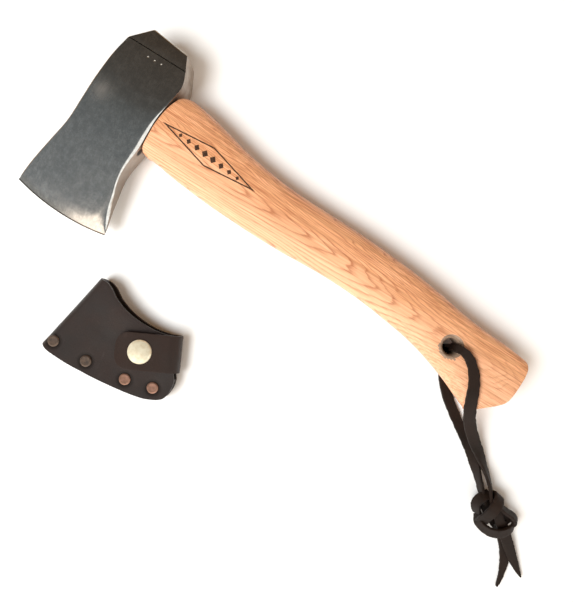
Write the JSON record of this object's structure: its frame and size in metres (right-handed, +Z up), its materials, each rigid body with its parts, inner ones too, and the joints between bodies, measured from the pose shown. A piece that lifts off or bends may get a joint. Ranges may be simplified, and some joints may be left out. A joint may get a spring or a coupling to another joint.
{
  "type": "carving hatchet",
  "caption": "Small forged carving hatchet on a curved ash handle with a knotted leather lanyard, beside its riveted leather blade cover closed by a snap strap.",
  "frame": {"origin": "on the rest surface, straight below the middle of the eye: the flat cheek of the head lies on it", "axes": "+X along the handle from the eye to the butt, +Y from the cutting edge to the poll, +Z up out of the rest surface"},
  "size_m": [0.4002, 0.2005, 0.0244],
  "materials": {
    "forged_steel": "satin ground steel, faint scratches",
    "ash_wood": "oiled ash, open grain",
    "wedge_wood": "hardwood, end grain showing",
    "wedge_steel": "dull mild steel",
    "thong_leather": "dark brown thong, rough cut edges",
    "cover_leather": "dark brown oiled leather",
    "copper": "aged copper",
    "snap_metal": "pale plated snap, lightly worn"
  },
  "bodies": {
    "hatchet": {"lanyard_bight": "thong_leather", "lanyard_upper": "thong_leather", "lanyard_lower": "thong_leather", "lanyard_knot": "thong_leather", "lanyard_tail_long": "thong_leather", "lanyard_tail_short": "thong_leather", "axe_head": "forged_steel", "handle": "ash_wood", "wood_wedge": "wedge_wood", "steel_wedge": "wedge_steel"},
    "cover": {"cover_body": "cover_leather", "welt": "cover_leather", "snap_stud": "snap_metal", "snap_eyelet": "snap_metal", "rivet_1": "copper", "burr_1": "copper", "rivet_2": "copper", "burr_2": "copper", "rivet_3": "copper", "burr_3": "copper", "rivet_4": "copper", "burr_4": "copper"},
    "flap": {"strap": "cover_leather", "snap_cap": "snap_metal", "snap_socket": "snap_metal", "snap_spring": "snap_metal"}
  },
  "joints": [
    {"name": "cover_lift", "type": "slide", "parent": "hatchet", "child": "cover", "axis": [0, 0, 1], "range_m": [0, 0.12]},
    {"name": "strap_open", "type": "hinge", "parent": "cover", "child": "flap", "pos_m": [0.09687, -0.11695, 0.01345], "axis": [-0.4415, 0.8973, 0], "range_deg": [0, 100]}
  ]
}
